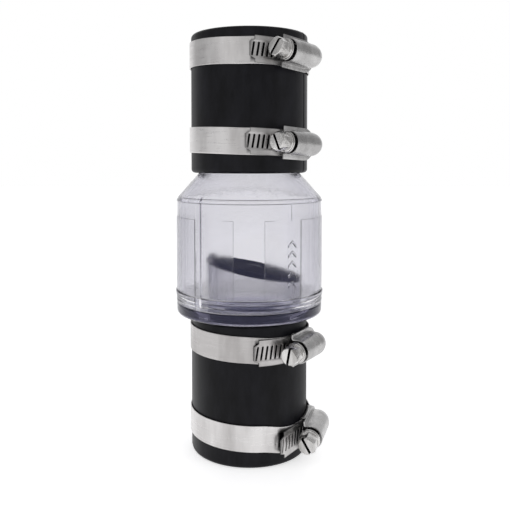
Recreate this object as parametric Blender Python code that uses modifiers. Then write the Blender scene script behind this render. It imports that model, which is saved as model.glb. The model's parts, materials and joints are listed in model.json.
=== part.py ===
"""Clear in-line swing check valve for 1-1/2 inch pipe, with rubber couplings and worm-drive hose clamps.

Metres, +Z up. The valve stands on its inlet end: the origin is the centre of the inlet coupling's end face,
+Z is the flow direction and -Y is the front, where the sight window is. Azimuths are measured from the front,
positive towards +X.
"""

import math

import bmesh
import bpy
from mathutils import Matrix, Vector

# ---------------------------------------------------------------- driving dimensions
TOTAL_HEIGHT = 0.2034
COUPLING_LENGTH = 0.0669
COUPLING_OUTER_R = 0.0285
COUPLING_INNER_R = 0.02445
COUPLING_EDGE_R = 0.0020
PIPE_OUTER_R = 0.02415
PIPE_CHAMFER = 0.0008
BORE_R = 0.0204
SPIGOT_OVERLAP = 0.0332
GAP = 0.0003

FLANGE_BOTTOM_Z = 0.0677
FLOOR_TOP_Z = 0.0725
SEAT_TUBE_BOTTOM_Z = 0.0700
SEAT_BORE_BOTTOM_Z = 0.0690
LIP_TOP_Z = 0.0793
LIP_BOTTOM_Z = 0.0776
CAP_STEP_Z = 0.0734
LIP_R = 0.0364
CAP_R = 0.0360
CAP_SOCKET_R = 0.0346
CAP_EDGE_R = 0.0022
CAP_DRAFT = 0.0001
CAP_CHAMFER = 0.0003

WALL_OUTER_R = 0.0356
WALL_INNER_R = 0.0326
TONGUE_R = 0.0343
SHOULDER_Z = 0.1233
SHOULDER_TOP_Z = 0.1249
SHOULDER_TOP_R = 0.0351
CONE_TOP_Z = 0.1362
CONE_TOP_R = 0.0249
CONE_INSIDE_LOW_Z = 0.1231
CONE_INSIDE_HIGH_Z = 0.1360

PANEL_TOP_Z = 0.1154
PANEL_RAISE = 0.0003
PANELS_DEG = ((41.5, 138.5), (-135.5, -44.5))
WINDOW_STRIPS_DEG = ((-20.0, -11.6), (11.2, 18.8))
WINDOW_STRIP_RAISE = 0.0002
RELIEF_SINK = 0.0006
BEAD_DEG = (-43.9, -37.5)
BEAD_RAISE = 0.0008
KEY_RAISE = 0.0006

SEAT_X = 0.0025
SEAT_Z = 0.0885
SEAT_SLOPE = math.radians(11.5)
SEAT_OUTER_R = 0.0230
SEAT_INNER_R = 0.0196
SEAT_CUT_LENGTH = 0.0120
HINGE_DISTANCE = 0.0220
HINGE_HEIGHT = 0.0019
KNUCKLE_R = 0.0019
KNUCKLE_HALF_WIDTH = 0.0060
LUG_THICKNESS = 0.0020
LUG_DEPTH = 0.0110
PIN_R = 0.0008
PIN_HOLE_R = 0.0011
PIN_HALF_LENGTH = 0.0090
DISC_R = 0.0228
DISC_THICKNESS = 0.0022
DISC_CHORD_CLEARANCE = 0.0008
PLATE_R = 0.0160
PLATE_THICKNESS = 0.0010
RIVET_R = 0.0020
RIVET_HEAD_R = 0.0036
RIVET_HEAD_HEIGHT = 0.0007

BAND_WIDTH = 0.0123
BAND_THICKNESS = 0.0005
BAND_R = COUPLING_OUTER_R + GAP
BAND_GAP = 0.0002
SADDLE_THICKNESS = 0.0004
BAND_SADDLE_R = BAND_R + SADDLE_THICKNESS + BAND_GAP
LAYER = BAND_THICKNESS + BAND_GAP
SADDLE_HALF_DEG = 13.0
BULGE_DEG = 9.0
SADDLE_RAIL_Z = 0.0306
FIXED_END_DEG = 8.0
TAIL_FROM_DEG = 300.0
TAIL_CLIMB_FROM_DEG = 326.0
TAIL_CLIMB_DEG = 24.0
TWIST_HOLD_DEG = 20.0
TWIST_FADE_DEG = 60.0
TIP_SETBACK = 0.0024
TIP_EDGE_STEP = 0.0004
SLOT_PITCH = 0.00225
SLOT_WIDTH = 0.0009
SLOT_LENGTH = 0.0064
SLOT_LEAN = -math.tan(math.radians(9.0))
SLOT_COUNT = 7
SLOT_START = 0.0012

SCREW_R = 0.0342
WORM_R = 0.0031
COLLAR_R = 0.0049
HEX_FLATS = 0.00794
HEAD_FACE_X = -0.0194
COLLAR_X = (-0.0126, -0.0114)
WORM_END_X = 0.0064
DRIVE_SLOT_WIDTH = 0.0012
DRIVE_SLOT_DEPTH = 0.0016
COVER_FRONT_X = -0.0107
COVER_STRAIGHT_X = 0.0040
COVER_END_X = 0.0104
COVER_R = 0.0053
COVER_THICKNESS = 0.0006
COVER_FOOT_HALF_WIDTH = 0.0075
COVER_FOOT_Z = 0.0312

TURN_STEPS = 48
BAND_STEP_DEG = 6.0

# height of the band's middle, lean of the band (lower towards +X), twist of the housing on the sleeve (screw
# head lower), housing azimuth, tail tip azimuth, azimuth where the tail leaves the band in a straight line,
# and the turn of the screw's drive slot
CLAMPS = (
    {"z": 0.1919, "lean": 2.4, "twist": -2.5, "housing": 46.0, "tip": 0.0, "lift": None, "slot": -54.0},
    {"z": 0.1511, "lean": 2.5, "twist": -1.0, "housing": 47.0, "tip": -4.0, "lift": None, "slot": 63.0},
    {"z": 0.0557, "lean": 1.7, "twist": 3.0, "housing": 56.0, "tip": 3.5, "lift": 14.0, "slot": -78.0},
    {"z": 0.0143, "lean": 2.4, "twist": 8.0, "housing": 71.5, "tip": 26.0, "lift": 50.0, "slot": 62.0},
)


# ---------------------------------------------------------------- scene helpers
def clear_scene():
    for ob in list(bpy.data.objects):
        bpy.data.objects.remove(ob, do_unlink=True)


def new_collection(name):
    collection = bpy.data.collections.new(name)
    bpy.context.scene.collection.children.link(collection)
    return collection


def make_material(name, colour, roughness, metallic=0.0, transmission=0.0):
    material = bpy.data.materials.new(name)
    material.use_nodes = True
    shader = material.node_tree.nodes["Principled BSDF"]
    shader.inputs["Base Color"].default_value = (*colour, 1.0)
    shader.inputs["Roughness"].default_value = roughness
    shader.inputs["Metallic"].default_value = metallic
    shader.inputs["Transmission Weight"].default_value = transmission
    return material


def add_object(name, mesh, material=None, parent=None):
    ob = bpy.data.objects.new(name, mesh)
    PARTS.objects.link(ob)
    if material is not None:
        mesh.materials.clear()
        mesh.materials.append(material)
    ob.parent = parent
    return ob


def add_cutter(name, mesh):
    ob = bpy.data.objects.new(name, mesh)
    CUTTERS.objects.link(ob)
    ob.hide_render = True
    ob.display_type = "WIRE"
    return ob


def add_empty(name, matrix):
    ob = bpy.data.objects.new(name, None)
    PARTS.objects.link(ob)
    ob.matrix_world = matrix
    return ob


def finish_mesh(bm, name):
    bmesh.ops.recalc_face_normals(bm, faces=bm.faces)
    mesh = bpy.data.meshes.new(name)
    bm.to_mesh(mesh)
    bm.free()
    return mesh


def shade(mesh, degrees=35.0):
    mesh.shade_smooth()
    mesh.set_sharp_from_angle(angle=math.radians(degrees))


def evaluated_mesh(ob, name):
    """The mesh of an object with its modifiers applied."""
    bpy.context.view_layer.update()
    depsgraph = bpy.context.evaluated_depsgraph_get()
    mesh = bpy.data.meshes.new_from_object(ob.evaluated_get(depsgraph))
    mesh.name = name
    return mesh


def baked(ob):
    """Applies an object's modifiers and keeps the object."""
    mesh = evaluated_mesh(ob, ob.name)
    ob.modifiers.clear()
    ob.data = mesh
    return ob


def add_boolean(ob, other, operation):
    modifier = ob.modifiers.new(operation.title(), "BOOLEAN")
    modifier.operation = operation
    modifier.solver = "EXACT"
    modifier.object = other


def combine(ob, cutters):
    """Applies a list of (object, operation) Booleans, and removes the cutters."""
    for other, operation in cutters:
        add_boolean(ob, other, operation)
    baked(ob)
    for other, _ in cutters:
        bpy.data.objects.remove(other, do_unlink=True)
    return ob


# ---------------------------------------------------------------- shape helpers
def arc(centre_r, centre_z, radius, start_deg, end_deg, points=4):
    """Points (r, z) on an arc, measured from the +r direction."""
    out = []
    for i in range(points + 1):
        angle = math.radians(start_deg + (end_deg - start_deg) * i / points)
        out.append((centre_r + radius * math.cos(angle), centre_z + radius * math.sin(angle)))
    return out


def profile_mesh(name, points, closed):
    """A profile in the XZ plane, outer side first and running down."""
    mesh = bpy.data.meshes.new(name)
    edges = [(i, i + 1) for i in range(len(points) - 1)]
    if closed:
        edges.append((len(points) - 1, 0))
    mesh.from_pydata([(r, 0.0, z) for r, z in points], edges, [])
    return mesh


def add_screw(ob, axis="Z", steps=TURN_STEPS):
    modifier = ob.modifiers.new("Turn", "SCREW")
    modifier.axis = axis
    modifier.steps = steps
    modifier.render_steps = steps
    modifier.use_merge_vertices = True
    modifier.merge_threshold = 0.00001
    modifier.use_smooth_shade = True


def turned(name, points, material=None, closed=True, steps=TURN_STEPS):
    ob = add_object(name, profile_mesh(name, points, closed), material)
    add_screw(ob, steps=steps)
    return ob


def box_mesh(name, low, high, matrix=None):
    bm = bmesh.new()
    bmesh.ops.create_cube(bm, size=1.0)
    low = Vector(low)
    high = Vector(high)
    size = high - low
    for vert in bm.verts:
        vert.co = low + Vector((0.5 + vert.co.x, 0.5 + vert.co.y, 0.5 + vert.co.z)) * size
    if matrix is not None:
        bmesh.ops.transform(bm, matrix=matrix, verts=bm.verts)
    return finish_mesh(bm, name)


def cylinder_mesh(name, radius, low, high, matrix=None, segments=TURN_STEPS):
    """A cylinder on its own Z axis between two heights, then moved by a matrix."""
    bm = bmesh.new()
    bmesh.ops.create_cone(
        bm,
        cap_ends=True,
        segments=segments,
        radius1=radius,
        radius2=radius,
        depth=high - low,
        matrix=Matrix.Translation((0.0, 0.0, (low + high) / 2.0)),
    )
    if matrix is not None:
        bmesh.ops.transform(bm, matrix=matrix, verts=bm.verts)
    return finish_mesh(bm, name)


def along_y():
    """Turns a shape made on the Z axis onto the Y axis."""
    return Matrix.Rotation(math.radians(90.0), 4, "X")


def ring_point(radius, degrees, z):
    angle = math.radians(degrees)
    return (radius * math.sin(angle), -radius * math.cos(angle), z)


def curved_plate(name, radius, thickness, start_deg, end_deg, low, high, step_deg):
    """A plate that follows the wall between two azimuths: an open sheet thickened outwards."""
    columns = max(1, round((end_deg - start_deg) / step_deg))
    bm = bmesh.new()
    rows = []
    for z in (low, high):
        row = []
        for i in range(columns + 1):
            degrees = start_deg + (end_deg - start_deg) * i / columns
            row.append(bm.verts.new(ring_point(radius, degrees, z)))
        rows.append(row)
    for i in range(columns):
        bm.faces.new((rows[0][i], rows[0][i + 1], rows[1][i + 1], rows[1][i]))
    mesh = bpy.data.meshes.new(name)
    bm.to_mesh(mesh)
    bm.free()
    ob = add_cutter(name, mesh)
    modifier = ob.modifiers.new("Thickness", "SOLIDIFY")
    modifier.thickness = thickness
    modifier.offset = 1.0
    return baked(ob)


# ---------------------------------------------------------------- clear housing
def lower_housing(material):
    """Cap with lip, floor, inlet spigot and the slanted seat tube with its hinge lugs."""
    spigot_end = COUPLING_LENGTH - SPIGOT_OVERLAP
    corner = CAP_EDGE_R
    points = [(LIP_R - CAP_CHAMFER, LIP_TOP_Z), (LIP_R, LIP_TOP_Z - CAP_CHAMFER), (LIP_R, LIP_BOTTOM_Z)]
    points += [(CAP_R, LIP_BOTTOM_Z), (CAP_R, CAP_STEP_Z), (CAP_R - CAP_DRAFT, CAP_STEP_Z - CAP_CHAMFER)]
    points += arc(CAP_R - CAP_DRAFT - corner, FLANGE_BOTTOM_Z + corner, corner, 0.0, -90.0)
    points += [(PIPE_OUTER_R, FLANGE_BOTTOM_Z), (PIPE_OUTER_R, spigot_end + PIPE_CHAMFER)]
    points += [(PIPE_OUTER_R - PIPE_CHAMFER, spigot_end), (BORE_R, spigot_end)]
    points += [(BORE_R, FLOOR_TOP_Z), (CAP_SOCKET_R, FLOOR_TOP_Z), (CAP_SOCKET_R, LIP_TOP_Z)]
    ob = turned("lower_housing", points, material)

    centred = Matrix.Translation((SEAT_X, 0.0, 0.0))
    tube_end = SEAT_Z + SEAT_CUT_LENGTH
    tube = add_cutter(
        "seat_tube", cylinder_mesh("seat_tube", SEAT_OUTER_R, SEAT_TUBE_BOTTOM_Z, tube_end, centred)
    )
    slope = HINGE_FRAME @ Matrix.Translation((HINGE_DISTANCE, 0.0, -HINGE_HEIGHT - GAP))
    above = add_cutter("above_seat", box_mesh("above_seat", (-0.05, -0.05, 0.0), (0.05, 0.05, 0.05), slope))
    combine(tube, [(above, "DIFFERENCE")])

    key = curved_plate(
        "key",
        CAP_R - RELIEF_SINK,
        KEY_RAISE + RELIEF_SINK,
        *BEAD_DEG,
        CAP_STEP_Z + GAP,
        LIP_TOP_Z - GAP,
        3.0,
    )
    steps = [(tube, "UNION"), (key, "UNION")]
    for side in (-1.0, 1.0):
        inner = side * (KNUCKLE_HALF_WIDTH + GAP)
        outer = side * (KNUCKLE_HALF_WIDTH + GAP + LUG_THICKNESS)
        low, high = sorted((inner, outer))
        leg = add_cutter(
            "lug_leg",
            box_mesh("lug_leg", (-KNUCKLE_R, low, -LUG_DEPTH), (KNUCKLE_R, high, 0.0), HINGE_UPRIGHT),
        )
        top = add_cutter(
            "lug_top", cylinder_mesh("lug_top", KNUCKLE_R, -high, -low, HINGE_UPRIGHT @ along_y(), 20)
        )
        steps += [(leg, "UNION"), (top, "UNION")]
    bore = add_cutter(
        "seat_bore", cylinder_mesh("seat_bore", SEAT_INNER_R, SEAT_BORE_BOTTOM_Z, tube_end, centred)
    )
    pin_hole = add_cutter(
        "pin_hole", cylinder_mesh("pin_hole", PIN_HOLE_R, -0.02, 0.02, HINGE_UPRIGHT @ along_y(), 16)
    )
    steps += [(bore, "DIFFERENCE"), (pin_hole, "DIFFERENCE")]
    combine(ob, steps)
    shade(ob.data)
    return ob


def upper_housing(material):
    """Clear wall and cone with the outlet spigot, side panels, locating bead and strips beside the window."""
    spigot_end = TOTAL_HEIGHT - COUPLING_LENGTH + SPIGOT_OVERLAP
    wall_bottom = LIP_TOP_Z + GAP
    tongue_bottom = FLOOR_TOP_Z + GAP
    points = [(PIPE_OUTER_R - PIPE_CHAMFER, spigot_end), (PIPE_OUTER_R, spigot_end - PIPE_CHAMFER)]
    points += [(PIPE_OUTER_R, CONE_TOP_Z + GAP), (CONE_TOP_R, CONE_TOP_Z)]
    points += [(SHOULDER_TOP_R, SHOULDER_TOP_Z), (WALL_OUTER_R, SHOULDER_Z), (WALL_OUTER_R, wall_bottom)]
    points += [(TONGUE_R, wall_bottom), (TONGUE_R, tongue_bottom), (WALL_INNER_R, tongue_bottom)]
    points += [(WALL_INNER_R, CONE_INSIDE_LOW_Z), (BORE_R, CONE_INSIDE_HIGH_Z), (BORE_R, spigot_end)]
    ob = turned("upper_housing", points, material)

    relief_bottom = wall_bottom + GAP
    reliefs = [("side_panel", span, PANEL_RAISE, PANEL_TOP_Z, 7.5) for span in PANELS_DEG]
    reliefs += [("window_strip", span, WINDOW_STRIP_RAISE, PANEL_TOP_Z, 4.0) for span in WINDOW_STRIPS_DEG]
    reliefs.append(("bead", BEAD_DEG, BEAD_RAISE, SHOULDER_TOP_Z, 3.0))
    steps = []
    for name, span, height, top, step_deg in reliefs:
        plate = curved_plate(
            name, WALL_OUTER_R - RELIEF_SINK, height + RELIEF_SINK, *span, relief_bottom, top, step_deg
        )
        steps.append((plate, "UNION"))
    combine(ob, steps)
    shade(ob.data)
    return ob


# ---------------------------------------------------------------- couplings
def coupling(name, bottom, material):
    """Rubber sleeve with rounded outer ends."""
    top = bottom + COUPLING_LENGTH
    corner = COUPLING_EDGE_R
    inner_corner = 0.0005
    points = arc(COUPLING_OUTER_R - corner, top - corner, corner, 90.0, 0.0)
    points += arc(COUPLING_OUTER_R - corner, bottom + corner, corner, 0.0, -90.0)
    points += [(COUPLING_INNER_R + inner_corner, bottom), (COUPLING_INNER_R, bottom + inner_corner)]
    points += [(COUPLING_INNER_R, top - inner_corner), (COUPLING_INNER_R + inner_corner, top)]
    ob = turned(name, points, material)
    baked(ob)
    shade(ob.data)
    return ob


# ---------------------------------------------------------------- flapper
def flapper_disc(material, parent):
    """Rubber flap, cut straight on its hinge side, with a knuckle on the pin's axis."""
    bottom = -HINGE_HEIGHT
    top = bottom + DISC_THICKNESS
    centre = Matrix.Translation((HINGE_DISTANCE, 0.0, 0.0))
    disc = cylinder_mesh("flapper_disc", DISC_R, bottom, top, centre)
    ob = add_object("flapper_disc", disc, material, parent)
    chord = KNUCKLE_R + DISC_CHORD_CLEARANCE
    chord_cut = add_cutter("chord", box_mesh("chord", (-0.02, -0.03, -0.01), (chord, 0.03, 0.01)))
    neck = add_cutter(
        "neck",
        box_mesh("neck", (0.0, -KNUCKLE_HALF_WIDTH, bottom), (chord + 0.002, KNUCKLE_HALF_WIDTH, top)),
    )
    knuckle = add_cutter(
        "knuckle",
        cylinder_mesh("knuckle", KNUCKLE_R, -KNUCKLE_HALF_WIDTH, KNUCKLE_HALF_WIDTH, along_y(), 20),
    )
    pin_hole = add_cutter("pin_hole", cylinder_mesh("pin_hole", PIN_HOLE_R, -0.01, 0.01, along_y(), 16))
    rivet_hole = add_cutter(
        "rivet_hole", cylinder_mesh("rivet_hole", RIVET_R + GAP, -0.01, 0.01, centre, 20)
    )
    for cutter in (chord_cut, neck, knuckle, pin_hole, rivet_hole):
        cutter.matrix_world = HINGE_FRAME
    combine(
        ob,
        [
            (chord_cut, "DIFFERENCE"),
            (neck, "UNION"),
            (knuckle, "UNION"),
            (pin_hole, "DIFFERENCE"),
            (rivet_hole, "DIFFERENCE"),
        ],
    )
    shade(ob.data)


def flapper_plate(material, parent):
    """Round weight plate under the flap, inside the seat's bore."""
    high = -HINGE_HEIGHT - GAP
    low = high - PLATE_THICKNESS
    corner = 0.0003
    points = [(PLATE_R, high), (PLATE_R, low + corner), (PLATE_R - corner, low), (RIVET_R + GAP, low)]
    points += [(RIVET_R + GAP, high)]
    ob = turned("flapper_plate", points, material)
    ob.parent = parent
    ob.location = (HINGE_DISTANCE, 0.0, 0.0)
    baked(ob)
    shade(ob.data)


def flapper_rivet(material, parent):
    """Rivet through flap and plate, with a domed head on each side."""
    top = -HINGE_HEIGHT + DISC_THICKNESS + GAP
    bottom = -HINGE_HEIGHT - GAP - PLATE_THICKNESS - GAP
    height = RIVET_HEAD_HEIGHT
    shoulder = RIVET_HEAD_R * 0.7
    points = [(0.0, top + height), (shoulder, top + height * 0.7), (RIVET_HEAD_R, top)]
    points += [(RIVET_R, top), (RIVET_R, bottom), (RIVET_HEAD_R, bottom)]
    points += [(shoulder, bottom - height * 0.7), (0.0, bottom - height)]
    ob = turned("flapper_rivet", points, material, closed=False, steps=20)
    ob.parent = parent
    ob.location = (HINGE_DISTANCE, 0.0, 0.0)
    baked(ob)
    shade(ob.data)


def hinge_pin(material):
    mesh = cylinder_mesh("hinge_pin", PIN_R, -PIN_HALF_LENGTH, PIN_HALF_LENGTH, along_y(), 16)
    ob = add_object("hinge_pin", mesh, material)
    ob.matrix_world = HINGE_UPRIGHT
    shade(ob.data)


# ---------------------------------------------------------------- hose clamps
def smooth_step(value):
    value = min(1.0, max(0.0, value))
    return value * value * (3.0 - 2.0 * value)


def bulge(offset_deg):
    """How far the band is lifted over the saddle, 0 to 1, at an azimuth measured from the housing."""
    return smooth_step((SADDLE_HALF_DEG + BULGE_DEG - abs(offset_deg)) / BULGE_DEG)


def twist_rise(clamp, offset_deg, is_tail):
    """Height the twisted housing gives the band, fading out round the sleeve but not along the free tail."""
    fade = smooth_step((TWIST_FADE_DEG - abs(offset_deg)) / (TWIST_FADE_DEG - TWIST_HOLD_DEG))
    if is_tail:
        fade = 1.0
    return math.tan(math.radians(clamp["twist"])) * BAND_R * math.radians(offset_deg) * fade


def band_point(clamp, turned_deg):
    """Azimuth, inner radius and rise of the band, turned_deg along it from its fixed end."""
    start = clamp["housing"] + FIXED_END_DEG
    degrees = start - turned_deg
    offset = degrees - clamp["housing"]
    wrapped = (offset + 180.0) % 360.0 - 180.0
    radius = BAND_R + (BAND_SADDLE_R - BAND_R) * bulge(wrapped)
    radius += LAYER * smooth_step((turned_deg - TAIL_CLIMB_FROM_DEG) / TAIL_CLIMB_DEG)
    lift = clamp["lift"]
    azimuth = degrees + 360.0
    is_end = turned_deg > TAIL_FROM_DEG
    if lift is not None and is_end and azimuth < lift:
        radius = max(radius, (BAND_R + LAYER) / math.cos(math.radians(lift - azimuth)))
    is_tail = is_end and azimuth < clamp["housing"]
    return degrees, radius, twist_rise(clamp, wrapped, is_tail)


def band_mesh(name, clamp):
    """One strip that goes once round and overlaps itself; the overlapping tail has leaning slots."""
    sweep = clamp["housing"] + FIXED_END_DEG + 360.0 - clamp["tip"]
    tail_r = BAND_R + LAYER
    half_slot = SLOT_LENGTH / 2.0
    half_width = BAND_WIDTH / 2.0
    heights = (-half_width, -half_slot, half_slot, half_width)

    # distances back from the tip, in metres, at every slot edge
    stations = [0.0]
    for i in range(SLOT_COUNT):
        start = SLOT_START + i * SLOT_PITCH
        stations += [start, start + SLOT_WIDTH]
    slotted = len(stations)
    end = math.radians(sweep) * tail_r
    plain = end - stations[-1]
    count = round(math.degrees(plain / tail_r) / BAND_STEP_DEG)
    stations += [stations[-1] + plain * (i + 1) / count for i in range(count)]

    lean = math.tan(math.radians(clamp["lean"]))
    bm = bmesh.new()
    columns = []
    for index, distance in enumerate(stations):
        column = []
        for height in heights:
            back = distance
            if abs(height) > half_slot:
                back = min(max(distance, TIP_SETBACK + index * TIP_EDGE_STEP), end)
            elif 0 < index < slotted:
                back -= SLOT_LEAN * height
            degrees, radius, rise = band_point(clamp, sweep - math.degrees(back / tail_r))
            x, y, z = ring_point(radius, degrees, clamp["z"] + height + rise)
            column.append(bm.verts.new((x, y, z - lean * x)))
        columns.append(column)
    for index in range(len(columns) - 1):
        is_slot = index % 2 == 1 and index < slotted
        for row in range(len(heights) - 1):
            if is_slot and row == 1:
                continue
            a, b = columns[index], columns[index + 1]
            bm.faces.new((a[row], b[row], b[row + 1], a[row + 1]))
    mesh = bpy.data.meshes.new(name)
    bm.to_mesh(mesh)
    bm.free()
    return mesh


def clamp_band(name, clamp, material):
    ob = add_object(name, band_mesh(name, clamp), material)
    modifier = ob.modifiers.new("Thickness", "SOLIDIFY")
    modifier.thickness = BAND_THICKNESS
    modifier.offset = 1.0
    modifier.use_even_offset = True
    baked(ob)
    shade(ob.data)


def clamp_axes(clamp):
    """Origin on the valve's axis, direction along the band per metre round the sleeve, direction outwards."""
    angle = math.radians(clamp["housing"])
    lean = math.tan(math.radians(clamp["lean"]))
    rise = math.tan(math.radians(clamp["twist"])) - lean * math.cos(angle)
    origin = Vector((0.0, 0.0, clamp["z"] - lean * BAND_R * math.sin(angle)))
    along = Vector((math.cos(angle), math.sin(angle), rise))
    return origin, along, Vector((math.sin(angle), -math.cos(angle), 0.0))


def clamp_matrix(clamp):
    """Housing frame: +X along the band away from the screw head, +Y up, +Z out from the valve's axis."""
    origin, along, outward = clamp_axes(clamp)
    tangent = along.normalized()
    matrix = Matrix((tangent, outward.cross(tangent), outward)).transposed().to_4x4()
    return Matrix.Translation(origin) @ matrix


def saddle_mesh():
    """Curved plate under the band with a flange up each side."""
    flange_y = BAND_WIDTH / 2.0 + GAP
    columns = 8
    half = math.radians(SADDLE_HALF_DEG)
    radius = BAND_R + SADDLE_THICKNESS
    bm = bmesh.new()
    rows = []
    for i in range(columns + 1):
        angle = half * (2.0 * i / columns - 1.0)
        x = radius * math.sin(angle)
        base = radius * math.cos(angle)
        outline = ((-flange_y, SADDLE_RAIL_Z), (-flange_y, base), (flange_y, base), (flange_y, SADDLE_RAIL_Z))
        rows.append([bm.verts.new((x, y, z)) for y, z in outline])
    for a, b in zip(rows, rows[1:]):
        for k in range(3):
            bm.faces.new((a[k], b[k], b[k + 1], a[k + 1]))
    mesh = bpy.data.meshes.new("saddle")
    bm.to_mesh(mesh)
    bm.free()
    return mesh


def laid_under_band(mesh, name, clamp):
    """The saddle follows the slanting band while its width stays upright, as the band's does."""
    origin, along, outward = clamp_axes(clamp)
    laid = mesh.copy()
    laid.name = name
    for vertex in laid.vertices:
        x, y, z = vertex.co
        vertex.co = origin + along * x + Vector((0.0, 0.0, y)) + outward * z
    return laid


def cover_mesh():
    """Arched cover with a foot along each side and a rounded far end."""
    arch_points = 9
    foot = COVER_FOOT_HALF_WIDTH
    section = [(-foot, COVER_FOOT_Z), (-COVER_R, COVER_FOOT_Z)]
    for i in range(arch_points + 1):
        angle = math.pi - math.pi * i / arch_points
        section.append((COVER_R * math.cos(angle), SCREW_R + COVER_R * math.sin(angle)))
    section += [(COVER_R, COVER_FOOT_Z), (foot, COVER_FOOT_Z)]
    stations = [(COVER_FRONT_X, 1.0), (COVER_STRAIGHT_X, 1.0)]
    rounding = COVER_END_X - COVER_STRAIGHT_X
    for fraction in (0.35, 0.62, 0.82, 0.95):
        stations.append((COVER_STRAIGHT_X + rounding * fraction, math.sqrt(1.0 - fraction**2)))
    bm = bmesh.new()
    rows = []
    for x, shrink in stations:
        row = []
        for y, z in section:
            width = y * (0.30 + 0.70 * shrink)
            height = COVER_FOOT_Z + (z - COVER_FOOT_Z) * (0.45 + 0.55 * shrink)
            row.append(bm.verts.new((x, width, height)))
        rows.append(row)
    for a, b in zip(rows, rows[1:]):
        for k in range(len(section) - 1):
            bm.faces.new((a[k], a[k + 1], b[k + 1], b[k]))
    mesh = bpy.data.meshes.new("cover")
    bm.to_mesh(mesh)
    bm.free()
    return mesh


def thickened(mesh, thickness, offset):
    ob = add_cutter("sheet", mesh)
    modifier = ob.modifiers.new("Thickness", "SOLIDIFY")
    modifier.thickness = thickness
    modifier.offset = offset
    modifier.use_even_offset = True
    out = evaluated_mesh(ob, mesh.name)
    bpy.data.objects.remove(ob, do_unlink=True)
    shade(out)
    return out


def screw_mesh():
    """Worm, collar and slotted hexagon head along X, with the origin on the worm's axis."""
    lying = Matrix.Rotation(math.radians(90.0), 4, "Y")
    worm = add_cutter("worm", cylinder_mesh("worm", WORM_R, COLLAR_X[0], WORM_END_X, lying, 20))
    collar = add_cutter("collar", cylinder_mesh("collar", COLLAR_R, *COLLAR_X, lying, 24))
    hex_r = HEX_FLATS / math.sqrt(3.0)
    head = add_cutter("head", cylinder_mesh("head", hex_r, HEAD_FACE_X, COLLAR_X[0] + 0.0004, lying, 6))
    slot = add_cutter(
        "slot",
        box_mesh(
            "slot",
            (HEAD_FACE_X - 0.001, -DRIVE_SLOT_WIDTH / 2.0, -0.01),
            (HEAD_FACE_X + DRIVE_SLOT_DEPTH, DRIVE_SLOT_WIDTH / 2.0, 0.01),
        ),
    )
    combine(worm, [(collar, "UNION"), (head, "UNION"), (slot, "DIFFERENCE")])
    mesh = worm.data.copy()
    mesh.name = "screw"
    bpy.data.objects.remove(worm, do_unlink=True)
    shade(mesh)
    return mesh


def add_clamps(steel):
    saddle = thickened(saddle_mesh(), SADDLE_THICKNESS, -1.0)
    cover = thickened(cover_mesh(), COVER_THICKNESS, 0.0)
    screw = screw_mesh()
    for number, clamp in enumerate(CLAMPS, start=1):
        prefix = f"clamp_{number}"
        clamp_band(f"{prefix}_band", clamp, steel)
        frame = add_empty(f"{prefix}_frame", clamp_matrix(clamp))
        add_object(f"{prefix}_saddle", laid_under_band(saddle, f"{prefix}_saddle", clamp), steel)
        add_object(f"{prefix}_housing", cover, steel, frame)
        screw_object = add_object(f"{prefix}_screw", screw, steel, frame)
        screw_object.location = (0.0, 0.0, SCREW_R)
        screw_object.rotation_euler = (math.radians(clamp["slot"]), 0.0, 0.0)


# ---------------------------------------------------------------- assembly
clear_scene()
PARTS = new_collection("check_valve")
CUTTERS = new_collection("cutters")

down_slope = Matrix.Rotation(SEAT_SLOPE, 4, "Y")
seat_centre = Matrix.Translation((SEAT_X, 0.0, SEAT_Z))
HINGE_FRAME = seat_centre @ down_slope @ Matrix.Translation((-HINGE_DISTANCE, 0.0, HINGE_HEIGHT + GAP))
HINGE_UPRIGHT = Matrix.Translation(HINGE_FRAME.translation)

clear_pvc = make_material("clear_pvc", (0.80, 0.80, 0.88), 0.08, transmission=1.0)
coupling_rubber = make_material("coupling_rubber", (0.020, 0.020, 0.022), 0.55)
flapper_rubber = make_material("flapper_rubber", (0.025, 0.028, 0.035), 0.60)
dark_steel = make_material("dark_steel", (0.06, 0.065, 0.075), 0.40, metallic=0.8)
stainless = make_material("stainless", (0.62, 0.62, 0.61), 0.28, metallic=1.0)

lower_housing(clear_pvc)
upper_housing(clear_pvc)
coupling("inlet_coupling", 0.0, coupling_rubber)
coupling("outlet_coupling", TOTAL_HEIGHT - COUPLING_LENGTH, coupling_rubber)
hinge_pin(stainless)

flapper_hinge = add_empty("flapper_hinge", HINGE_FRAME)
flapper_disc(flapper_rubber, flapper_hinge)
flapper_plate(dark_steel, flapper_hinge)
flapper_rivet(dark_steel, flapper_hinge)

add_clamps(stainless)
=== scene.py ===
"""Looks of the clear swing check valve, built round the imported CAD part.

Metres, +Z up, the front is -Y. Azimuths are in degrees from the front, positive towards +X.
"""

import json
import math

import bmesh
import bpy
from mathutils import Matrix, Vector

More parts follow.
